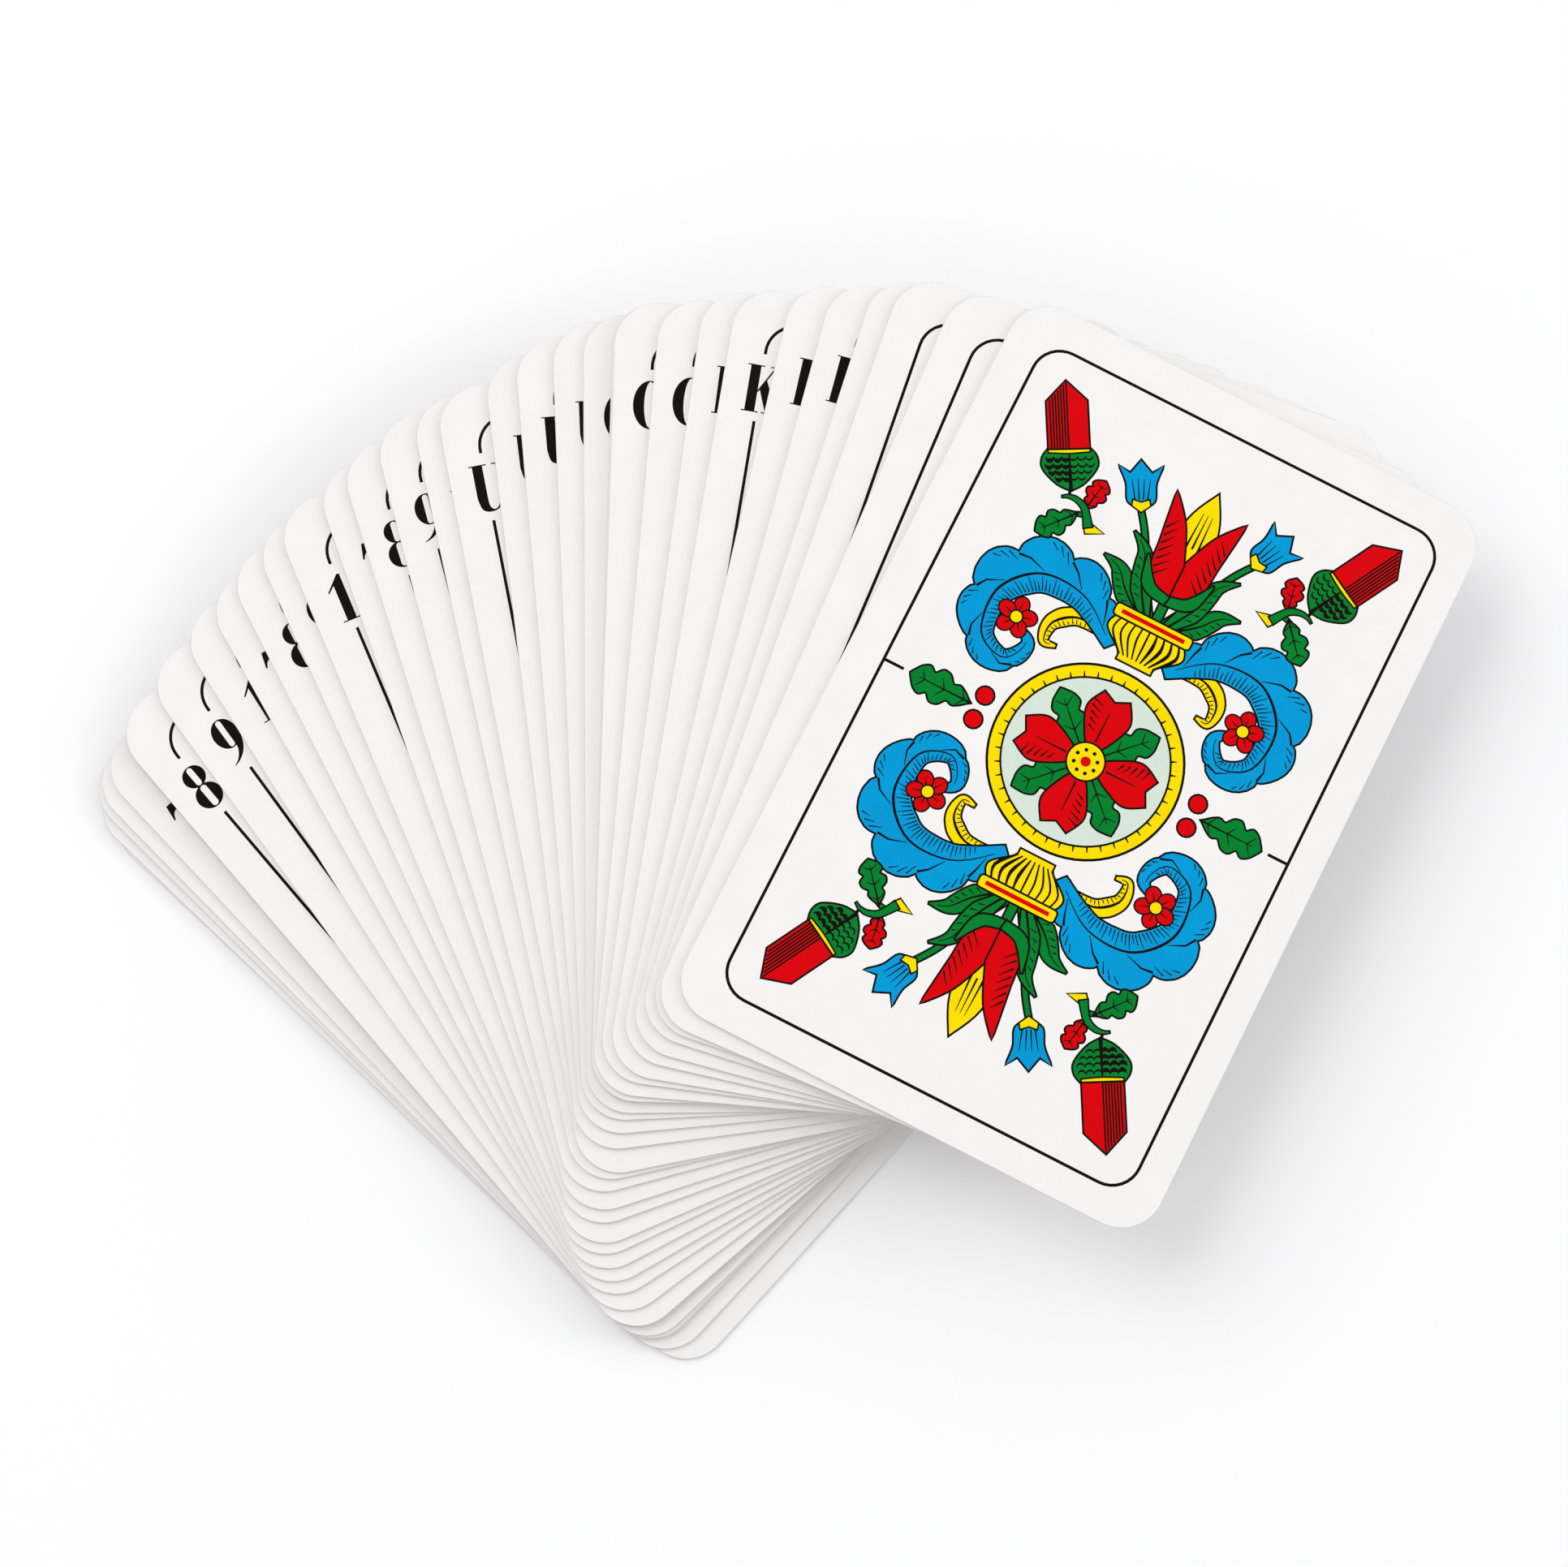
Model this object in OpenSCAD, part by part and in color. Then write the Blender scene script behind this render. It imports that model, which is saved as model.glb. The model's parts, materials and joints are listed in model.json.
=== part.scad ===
// A thirty-two card pack of playing cards with acorn, leaf, heart and bell suits, spread as a fan.
// The bottom card lies flat with its centre at the origin and its head towards +Y.
// Each card above it is a separate flat plate, turned a little further clockwise about the thumb point.

/* [Card] */
// Width of one card
card_w = 59; // [50:0.5:70]
// Length of one card
card_l = 91; // [80:0.5:125]
// Thickness of the card board
card_t = 0.28; // [0.2:0.01:0.5]
// Radius of the die-cut corners
corner_r = 5; // [2:0.25:8]

/* [Pack] */
// Air between two cards that lie on each other
air_gap = 0.02; // [0.01:0.01:0.1]
// Extra air where the upper cards stand off the lowest five
split_gap = 0.4; // [0:0.05:0.8]

/* [Fan] */
// Turn of the top card against the bottom card, in degrees
fan_angle = 74.25; // [0:0.25:120]

/* [Hidden] */
// The four suits and the eight ranks, lowest in the pack first
SUITS = ["bells", "hearts", "leaves", "acorns"];
PIP_RANKS = ["seven", "eight", "nine", "ten"];
HIGH_RANKS = ["unter", "ober", "king", "ace"];

// The number cards lie in runs of one suit, the higher cards in groups of one rank
NODES = concat(
    [for (suit = SUITS) for (rank = PIP_RANKS) str(rank, "_of_", suit)],
    [for (rank = HIGH_RANKS) for (suit = SUITS) str(rank, "_of_", suit)]
);
$fn = 64;

// Turn from each card to the next one above, as shares of an even step
step_shares = [
    0.3, 0.4, 0.3, 0.55,
    1.15, 1.75, 1.65, 1.15,
    0.95, 1.05, 0.75, 1.45,
    0.8, 1.15, 1, 0.55,
    1.65, 0.85, 1.1, 0.85,
    0.8, 0.05, 1.35, 1.15,
    0.75, 1.4, 1, 1.1,
    0.55, 1.65, 1.65
];

// Place of the thumb point in from each card's left edge, as shares of the card's width
reach_shares = [
    0.62, 0.633, 0.638, 0.642,
    0.645, 0.652, 0.657, 0.659,
    0.658, 0.657, 0.654, 0.648,
    0.642, 0.636, 0.632, 0.617,
    0.603, 0.605, 0.598, 0.595,
    0.589, 0.583, 0.582, 0.583,
    0.575, 0.56, 0.546, 0.535,
    0.529, 0.517, 0.515, 0.495
];

// Place of the thumb point up from each card's tail edge, as shares of the corner radius
slip_shares = [
    0.45, 0.05, -0.2, -0.17,
    -0.11, -0.11, -0.04, 0.02,
    0.06, 0.03, 0.01, 0,
    -0.02, -0.07, -0.14, -0.1,
    -0.06, -0.16, -0.27, -0.28,
    -0.21, -0.26, -0.25, -0.03,
    -0.03, 0.01, 0.01, 0,
    -0.09, -0.15, 0.09, 0.03
];

// Height from one card's underside to the next one's
pitch = card_t + air_gap;

// The first card above the split, counted from the bottom of the pack
split_level = 5;

// The thumb point, where every tail edge of the fan crosses
thumb_x = reach_shares[0] * card_w - card_w / 2;
thumb_y = slip_shares[0] * corner_r - card_l / 2;

// Sum of the first n entries of a list
function sum_of(list, n) = n == 0 ? 0 : list[n - 1] + sum_of(list, n - 1);

// Clockwise turn of a card, counted from the bottom of the pack
function turn_of(level) = fan_angle * sum_of(step_shares, level) / sum_of(step_shares, len(step_shares));

// Height of a card's underside over the table
function height_of(level) = level * pitch + (level < split_level ? 0 : split_gap);

// Outline of a card with its lower left corner at the origin
module card_outline() {
    translate([0, corner_r])
        square([card_w, card_l - 2 * corner_r]);
    translate([corner_r, 0])
        square([card_w - 2 * corner_r, card_l]);
    for (x = [corner_r, card_w - corner_r])
        for (y = [corner_r, card_l - corner_r])
            translate([x, y])
                circle(r = corner_r);
}

// One card in its place in the fan
module card(level) {
    color("ivory")
        translate([thumb_x, thumb_y, height_of(level)])
            rotate([0, 0, -turn_of(level)])
                translate([-reach_shares[level] * card_w, -slip_shares[level] * corner_r])
                    linear_extrude(height = card_t)
                        card_outline();
}

for (level = [0 : len(NODES) - 1])
    card(level);
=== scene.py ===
"""A pack of thirty-two German-suited playing cards, spread as a clockwise fan.

Each card is one closed mesh in the place of its solid: a die-cut plate of coated board whose upper
face is divided into patches of ink, with a lattice print on its back. Drawings are in millimetres
from the middle of a card, with the head of the card up; meshes are in metres.
"""

import json
import logging
import math
from dataclasses import dataclass, field
from enum import Enum
from typing import Any, Callable, Iterable, Sequence

import bmesh
import bpy
import numpy as np
from mathutils import Matrix, Vector
from mathutils.geometry import delaunay_2d_cdt

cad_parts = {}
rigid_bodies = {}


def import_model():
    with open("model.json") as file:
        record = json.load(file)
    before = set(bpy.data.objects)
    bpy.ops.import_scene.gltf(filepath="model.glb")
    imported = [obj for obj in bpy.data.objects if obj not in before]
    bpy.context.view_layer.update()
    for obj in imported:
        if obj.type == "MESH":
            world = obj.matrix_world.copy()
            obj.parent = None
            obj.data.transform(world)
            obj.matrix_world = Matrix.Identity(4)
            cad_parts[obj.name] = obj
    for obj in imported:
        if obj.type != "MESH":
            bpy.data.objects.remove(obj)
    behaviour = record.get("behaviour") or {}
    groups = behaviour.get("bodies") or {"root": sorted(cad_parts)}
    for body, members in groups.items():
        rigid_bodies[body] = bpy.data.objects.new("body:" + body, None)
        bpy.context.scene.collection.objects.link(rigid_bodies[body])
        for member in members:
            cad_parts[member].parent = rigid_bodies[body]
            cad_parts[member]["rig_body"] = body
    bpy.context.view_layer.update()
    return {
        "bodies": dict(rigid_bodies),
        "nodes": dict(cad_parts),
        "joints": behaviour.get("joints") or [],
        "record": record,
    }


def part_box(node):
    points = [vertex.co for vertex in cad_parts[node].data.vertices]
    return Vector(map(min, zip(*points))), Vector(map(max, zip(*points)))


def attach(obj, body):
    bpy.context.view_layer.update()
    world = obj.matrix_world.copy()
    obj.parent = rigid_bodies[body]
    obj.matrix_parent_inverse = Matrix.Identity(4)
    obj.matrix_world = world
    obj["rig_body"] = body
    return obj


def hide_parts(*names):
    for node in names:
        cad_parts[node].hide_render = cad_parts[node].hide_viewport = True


LOG = logging.getLogger("card_fan")

MM = 0.001
PHOTO_WIDTH_PX = 1932

# Lengths that count as nothing, in metres on a mesh and in mm in a drawing
NO_LENGTH = 1e-6
SAME_POINT_MM = 1e-6
MERGE_MM = 1e-4

Point = tuple[float, float]
Line = list[Point]
Colour = tuple[float, float, float]


class Ink(Enum):
    """What a patch of a card shows; the value is its material slot."""

    PAPER = 0
    BLACK = 1
    RED = 2
    GREEN = 3
    BLUE = 4
    YELLOW = 5
    PALE = 6
    BACK = 7
    # The cut edge: real board grain, in a tone painted darker than the board as painted shade
    EDGE = 8


class Suit(Enum):
    """The four German suits; the value ends the names of their cards."""

    BELLS = "bells"
    HEARTS = "hearts"
    LEAVES = "leaves"
    ACORNS = "acorns"


class Rank(Enum):
    """The eight ranks; the value starts the names of their cards."""

    SEVEN = "seven"
    EIGHT = "eight"
    NINE = "nine"
    TEN = "ten"
    UNTER = "unter"
    OBER = "ober"
    KING = "king"
    ACE = "ace"


INDEX_SIGNS: dict[Rank, str] = {
    Rank.SEVEN: "7",
    Rank.EIGHT: "8",
    Rank.NINE: "9",
    Rank.TEN: "10",
    Rank.UNTER: "U",
    Rank.OBER: "O",
    Rank.KING: "K",
}

# How far each rank's print lies off the middle of its cut card, in mm across and along
PRINT_SHIFTS: dict[Rank, Point] = {
    Rank.SEVEN: (0.25, 0.0),
    Rank.EIGHT: (-0.2, 0.0),
    Rank.NINE: (-0.12, 0.0),
    Rank.TEN: (0.0, 0.0),
    Rank.UNTER: (0.0, 0.0),
    Rank.OBER: (0.3, 0.05),
    Rank.KING: (0.2, 0.3),
    Rank.ACE: (0.25, -0.2),
}


# Lines and outlines


def curve(points: Sequence[Point], steps: int = 6) -> Line:
    """Draws a smooth open line through given points.

    Args:
        points: The points that the line passes.
        steps: Straight pieces between two points.

    Returns:
        The points of the line, both ends included.
    """
    first, last = points[0], points[-1]
    padded = [first, *points, last]
    line: Line = []
    for stretch in zip(padded, padded[1:], padded[2:], padded[3:]):
        for step in range(steps):
            t = step / steps
            line.append(tuple(
                0.5 * (2 * b + (c - a) * t + (2 * a - 5 * b + 4 * c - d) * t**2
                       + (3 * b - a - 3 * c + d) * t**3)
                for a, b, c, d in zip(*stretch)
            ))
    return [*line, last]


def ellipse(x: float, y: float, across: float, high: float, steps: int = 32) -> Line:
    """Draws an ellipse about a point from its two half-widths, anticlockwise."""
    turns = (2 * math.pi * step / steps for step in range(steps))
    return [(x + across * math.cos(turn), y + high * math.sin(turn)) for turn in turns]


def disc(x: float, y: float, radius: float, steps: int = 32) -> Line:
    """Draws a circle about a point, anticlockwise."""
    return ellipse(x, y, radius, radius, steps)


def arc(x: float, y: float, radius: float, start: float, end: float, steps: int = 8) -> Line:
    """Draws a part of a circle about a point, between two angles in degrees."""
    turns = (math.radians(start + (end - start) * step / steps) for step in range(steps + 1))
    return [(x + radius * math.cos(turn), y + radius * math.sin(turn)) for turn in turns]


def box(left: float, low: float, right: float, high: float) -> Line:
    """Draws an upright rectangle from its four sides."""
    return [(left, low), (right, low), (right, high), (left, high)]


def rounded_box(half_width: float, half_height: float, radius: float) -> Line:
    """Draws a rectangle about the origin with round corners, from the right of the lower right one."""
    across, high = half_width - radius, half_height - radius
    corners = [(across, -high, -90), (across, high, 0), (-across, high, 90), (-across, -high, 180)]
    return [point for x, y, start in corners for point in arc(x, y, radius, start, start + 90)]


def both_sides(right: Line, *between: Point) -> Line:
    """Closes a right-hand side, drawn upwards, with its mirror image, after any points between the two."""
    return [*right, *between, *((-x, y) for x, y in reversed(right))]


def rounded(outline: Line, reach: float) -> Line:
    """Cuts the corners of a straight-sided outline back by a length and rounds them."""
    points = np.array(outline)
    line: Line = []
    for before, corner, after in zip(np.roll(points, 1, 0), points, np.roll(points, -1, 0)):
        start = corner + (before - corner) * reach / np.hypot(*(before - corner))
        end = corner + (after - corner) * reach / np.hypot(*(after - corner))
        for t in (0.0, 0.25, 0.5, 0.75, 1.0):
            line.append(tuple((1 - t) ** 2 * start + 2 * t * (1 - t) * corner + t**2 * end))
    return line


def grown(outline: Line, distance: float) -> Line:
    """Moves an outline outwards all round.

    Args:
        outline: A closed outline.
        distance: How far its sides move.

    Returns:
        The outline of the larger shape.
    """
    here = np.array(outline)
    ahead = np.roll(here, -1, axis=0) - here
    here = here[np.hypot(*ahead.T) > SAME_POINT_MM]
    ahead = np.roll(here, -1, axis=0) - here
    ahead /= np.hypot(*ahead.T)[:, None]
    area = np.sum(here[:, 0] * np.roll(here[:, 1], -1) - here[:, 1] * np.roll(here[:, 0], -1))
    out = np.column_stack([ahead[:, 1], -ahead[:, 0]]) * math.copysign(1.0, area)
    behind = np.roll(out, 1, axis=0)
    sharpest = 0.4
    stretch = np.maximum(1 + np.sum(out * behind, axis=1), sharpest)
    return [tuple(point) for point in here + (out + behind) * (distance / stretch)[:, None]]


@dataclass(frozen=True)
class Band:
    """A stroke along an open line, whose widths are spread evenly over its length.

    Its left side may stand out in round lobes, by a share of its half width.
    """

    line: Line
    widths: tuple[float, ...]
    lobes: int = 0
    depth: float = 0.7

    def along(self) -> np.ndarray:
        """Gives the share of the length at each point of the line."""
        steps = np.hypot(*np.diff(np.array(self.line), axis=0).T)
        return np.concatenate([[0.0], np.cumsum(steps)]) / steps.sum()

    def trace(self, shares: Sequence[float] | np.ndarray, across: Sequence[float] | float) -> Line:
        """Draws a line over the stroke.

        Args:
            shares: The places of its points along the stroke, from 0 to 1.
            across: Their places across it, from -1 on the right side to 1 on the left.

        Returns:
            The points of the line.
        """
        middle, along = np.array(self.line), self.along()
        ahead = np.gradient(middle, axis=0)
        ahead /= np.hypot(*ahead.T)[:, None]
        shares, across = np.asarray(shares), np.asarray(across)
        x, y, u, v = (np.interp(shares, along, row) for row in (*middle.T, *ahead.T))
        half = np.interp(shares, np.linspace(0, 1, len(self.widths)), self.widths) / 2
        lobe = 1 + self.depth * np.abs(np.sin(math.pi * self.lobes * shares)) ** 0.7
        out = half * np.where(across > 0, lobe, 1.0) * across
        return [tuple(point) for point in np.column_stack([x - v * out, y + u * out])]

    def outline(self) -> Line:
        """Draws the stroke's closed outline."""
        along = self.along()
        fine = np.union1d(along, np.linspace(0, 1, 10 * self.lobes + 1)) if self.lobes else along
        return [*self.trace(along, -1.0), *reversed(self.trace(fine, 1.0))]


def lobed_leaf(length: float, width: float, lobes: int, steps: int = 36) -> Line:
    """Draws an oak leaf from its stalk at the origin along +Y.

    Args:
        length: Length of the blade.
        width: Its greatest width.
        lobes: Lobes on each side.
        steps: Straight pieces on each side.

    Returns:
        The leaf's closed outline.
    """
    right: Line = []
    for step in range(1, steps):
        share = step / steps
        blade = math.sin(math.pi * share**1.35) ** 0.6
        notch = 1 - 0.4 * abs(math.cos(math.pi * lobes * share)) ** 4
        right.append((width / 2 * blade * notch, length * share))
    return [(0.0, 0.0), *both_sides(right, (0.0, length))]


# Drawing on a card


@dataclass(frozen=True)
class Patch:
    """One closed outline of ink, in mm on the card."""

    ink: Ink
    outline: Line


@dataclass(frozen=True)
class Pen:
    """Draws on one card, in coordinates moved, turned, scaled and mirrored against the card's own.

    Later patches lie over earlier ones.
    """

    patches: list[Patch]
    x: float = 0.0
    y: float = 0.0
    turn: float = 0.0
    size: float = 1.0
    mirror: bool = False
    contour: float = 0.24

    def placed(self, points: Iterable[Point]) -> Line:
        """Moves points of the drawing to their place on the card."""
        cos, sin = math.cos(math.radians(self.turn)), math.sin(math.radians(self.turn))
        side = -1.0 if self.mirror else 1.0
        return [
            (
                self.x + self.size * (cos * side * x - sin * y),
                self.y + self.size * (sin * side * x + cos * y),
            )
            for x, y in points
        ]

    def moved(
        self, x: float, y: float, turn: float = 0.0, size: float = 1.0, mirror: bool = False
    ) -> "Pen":
        """Gives a pen whose origin lies elsewhere in this drawing.

        Args:
            x: Place of the new origin.
            y: Place of the new origin.
            turn: Turn of the new drawing, anticlockwise in degrees.
            size: Scale of the new drawing.
            mirror: Whether its left and right change places.

        Returns:
            The new pen, on the same card.
        """
        (place,) = self.placed([(x, y)])
        turned = self.turn + (-turn if self.mirror else turn)
        return Pen(self.patches, *place, turned, self.size * size, self.mirror != mirror, self.contour)

    def turns(self, count: int, start: float = 0.0) -> list["Pen"]:
        """Gives pens turned evenly about the origin, the first one by a starting angle."""
        return [self.moved(0.0, 0.0, start + 360.0 * place / count) for place in range(count)]

    def sides(self) -> list["Pen"]:
        """Gives this pen and its mirror image."""
        return [self.moved(0.0, 0.0, mirror=mirror) for mirror in (False, True)]

    def fill(self, ink: Ink, outline: Line) -> None:
        """Lays one patch of ink."""
        self.patches.append(Patch(ink, self.placed(outline)))

    def edged(self, ink: Ink, outline: Line, contour: float | None = None) -> None:
        """Lays one patch of ink inside a black contour, whose width stays the same at every scale."""
        self.fill(Ink.BLACK, grown(outline, (contour or self.contour) / self.size))
        self.fill(ink, outline)

    def stroke(self, ink: Ink, line: Line, *widths: float) -> None:
        """Draws a stroke of ink along a line, with widths spread evenly over its length."""
        self.fill(ink, Band(line, widths if len(widths) > 1 else widths * 2).outline())

    def ribbon(self, ink: Ink, line: Line, *widths: float, contour: float | None = None) -> None:
        """Draws a stroke of ink inside a black contour."""
        self.edged(ink, Band(line, widths).outline(), contour)


# Suit signs


@dataclass(frozen=True)
class Acorn:
    """An acorn in its cup on a leafy twig, nut upwards, with the band between nut and cup at the origin."""

    nut_width: float = 4.6
    nut_side: float = 5.45
    nut_tip: float = 7.75
    band: float = 0.42
    cup_width: float = 6.3
    cup_low: float = -4.9
    hatch: float = 0.2
    hatch_lines: int = 7

    def draw(self, pen: Pen) -> None:
        """Draws twig, cup, band and nut."""
        self.twig(pen)
        self.cup(pen)
        half = self.nut_width / 2
        sag = curve([(-half, -self.band), (0.0, -self.band * 1.3), (half, -self.band)], 5)
        pen.edged(Ink.YELLOW, [*sag, (half, 0.1), (-half, 0.1)], 0.2)
        self.nut(pen)

    def nut(self, pen: Pen) -> None:
        """Draws the pointed nut, with its right side in shade."""
        half, fall = self.nut_width / 2, self.nut_tip - self.nut_side
        pen.edged(Ink.RED, both_sides([(half, 0.0), (half, self.nut_side), (0.0, self.nut_tip)]))
        for line in range(self.hatch_lines):
            share = line / self.hatch_lines
            x, top = half * share, self.nut_tip - fall * share - 0.1
            pen.fill(Ink.BLACK, box(x - self.hatch / 2, 0.0, x + self.hatch / 2, top))

    def cup(self, pen: Pen) -> None:
        """Draws the cup with its rows of scales, its right half in shade."""
        half, low = self.cup_width / 2, self.cup_low
        profile = curve([
            (0.0, low), (half * 0.5, low * 0.83), (half * 0.97, low * 0.48), (half * 0.98, low * 0.22),
            (half * 0.76, -self.band * 0.3),
        ], 5)
        pen.edged(Ink.GREEN, both_sides(profile))
        for share, reach, scales in ((0.24, 0.86, 3), (0.4, 0.9, 3), (0.56, 0.78, 3), (0.71, 0.55, 2)):
            wide = half * reach / scales
            for scale in range(-scales, scales):
                x, y = wide * (scale + 0.5), low * share
                wave = arc(x, y + 0.2, wide / 2, 180, 360, 6)
                pen.stroke(Ink.BLACK, wave, 0.1, 0.62 if scale >= 0 else 0.28, 0.1)
        pen.stroke(Ink.BLACK, [(0.0, low), (0.0, -self.band)], 0.5, 0.18, 0.18)

    def twig(self, pen: Pen) -> None:
        """Draws the bent twig with its cut end, a large and a small leaf."""
        low = self.cup_low
        pen.stroke(Ink.BLACK, [(0.0, low + 0.3), (0.3, low - 0.7)], 0.5, 0.3)
        Foliage(3.8, 2.4, ink=Ink.RED).draw(pen.moved(-1.6, low - 2.1, 39.0))
        stalk = curve([(-1.75, low - 3.4), (-1.2, low - 2.9), (-0.3, low - 2.7)], 4)
        pen.ribbon(Ink.GREEN, stalk, 0.5, 0.3, contour=0.2)
        Foliage(5.1, 2.9).draw(pen.moved(-0.5, low - 2.7, -111.0))
        cut = [(-1.3, low - 4.3), (-2.2, low - 4.1), (-3.4, low - 5.1), (-1.4, low - 5.0)]
        pen.edged(Ink.YELLOW, cut, 0.2)
        bend = curve([
            (1.0, low - 0.7), (0.3, low - 0.7), (-0.6, low - 1.1), (-1.45, low - 2.2), (-1.7, low - 4.3),
        ], 5)
        pen.ribbon(Ink.GREEN, bend, 0.1, 0.4, 0.6, 0.7, 0.9, contour=0.2)


@dataclass(frozen=True)
class Foliage:
    """An oak leaf with its veins, from its stalk at the origin along +Y."""

    length: float
    width: float
    lobes: int = 3
    ink: Ink = Ink.GREEN
    vein: float = 0.17

    def draw(self, pen: Pen) -> None:
        """Draws the blade, its middle rib and its side veins."""
        pen.edged(self.ink, lobed_leaf(self.length, self.width, self.lobes))
        pen.stroke(Ink.BLACK, [(0.0, 0.0), (0.0, self.length * 0.86)], self.vein * 1.5, self.vein * 0.6)
        for lobe in range(self.lobes):
            low = self.length * (lobe + 0.3) / self.lobes
            tip = (self.width * 0.27, low + self.length * 0.28 / self.lobes)
            for side in (-1, 1):
                pen.stroke(Ink.BLACK, [(0.0, low), (side * tip[0], tip[1])], self.vein, self.vein * 0.5)


@dataclass(frozen=True)
class LindenLeaf:
    """A heart-shaped leaf on its stalk, tip upwards, with its middle at the origin."""

    width: float = 9.0
    height: float = 10.5
    stalk: float = 3.4

    def draw(self, pen: Pen) -> None:
        """Draws stalk, blade and veins."""
        half, low = self.width / 2, -self.height * 0.36
        stalk = curve([(0.0, low), (0.3, low - self.stalk * 0.5), (-0.5, low - self.stalk)], 5)
        pen.ribbon(Ink.GREEN, stalk, 0.5, 0.6, 1.0)
        right = curve([
            (0.0, low), (half * 0.5, low - self.height * 0.12), (half * 0.98, low + self.height * 0.14),
            (half * 0.6, low + self.height * 0.58), (0.0, low + self.height),
        ], 7)
        pen.edged(Ink.GREEN, both_sides(right))
        pen.stroke(Ink.BLACK, [(0.0, low), (0.0, low + self.height * 0.92)], 0.5, 0.2)
        for share in (0.12, 0.28, 0.44, 0.6):
            for side in (-1, 1):
                start = low + self.height * share
                end = (side * half * (0.74 - share * 0.7), start + self.height * 0.13)
                pen.stroke(Ink.BLACK, [(0.0, start), end], 0.3, 0.1)


@dataclass(frozen=True)
class Heart:
    """A heart, point downwards, with its middle at the origin."""

    width: float = 10.0
    height: float = 10.5

    def draw(self, pen: Pen) -> None:
        """Draws the heart with a hatched left side."""
        half, low = self.width / 2, -self.height / 2
        right = curve([
            (0.0, low), (half * 0.55, low + self.height * 0.36), (half, low + self.height * 0.72),
            (half * 0.56, low + self.height), (0.0, low + self.height * 0.8),
        ], 7)
        pen.edged(Ink.RED, both_sides(right))
        for line in range(5):
            share = 0.3 + 0.1 * line
            start = (-half * (0.5 + 0.34 * math.sin(math.pi * share)), low + self.height * (share + 0.16))
            end = (start[0] + half * 0.5, start[1] - self.height * 0.05)
            pen.stroke(Ink.BLACK, [start, end], 0.3, 0.08)


@dataclass(frozen=True)
class Bell:
    """A round sleigh bell with its loop upwards and its middle at the origin."""

    radius: float = 4.7

    def draw(self, pen: Pen) -> None:
        """Draws loop, globe, belt and sound slot."""
        radius = self.radius
        pen.edged(Ink.YELLOW, disc(0.0, radius * 1.12, radius * 0.3, 20))
        pen.edged(Ink.PAPER, disc(0.0, radius * 1.16, radius * 0.12, 16), 0.15)
        pen.edged(Ink.YELLOW, disc(0.0, 0.0, radius, 40))
        upper = arc(0.0, radius * 0.3, radius, 215, 325, 16)
        pen.fill(Ink.RED, [*arc(0.0, 0.0, radius, 200, 340, 16), *reversed(upper)])
        belt = [*arc(0.0, 0.0, radius, -3, 12, 4), *arc(0.0, 0.0, radius, 168, 183, 4)]
        pen.edged(Ink.GREEN, belt, 0.15)
        pen.fill(Ink.BLACK, box(-radius * 0.06, -radius * 0.75, radius * 0.06, -radius * 0.1))
        pen.fill(Ink.BLACK, disc(0.0, -radius * 0.74, radius * 0.16, 16))


SIGNS: dict[Suit, Acorn | LindenLeaf | Heart | Bell] = {
    Suit.BELLS: Bell(),
    Suit.HEARTS: Heart(),
    Suit.LEAVES: LindenLeaf(),
    Suit.ACORNS: Acorn(),
}


# Rank signs


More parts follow.
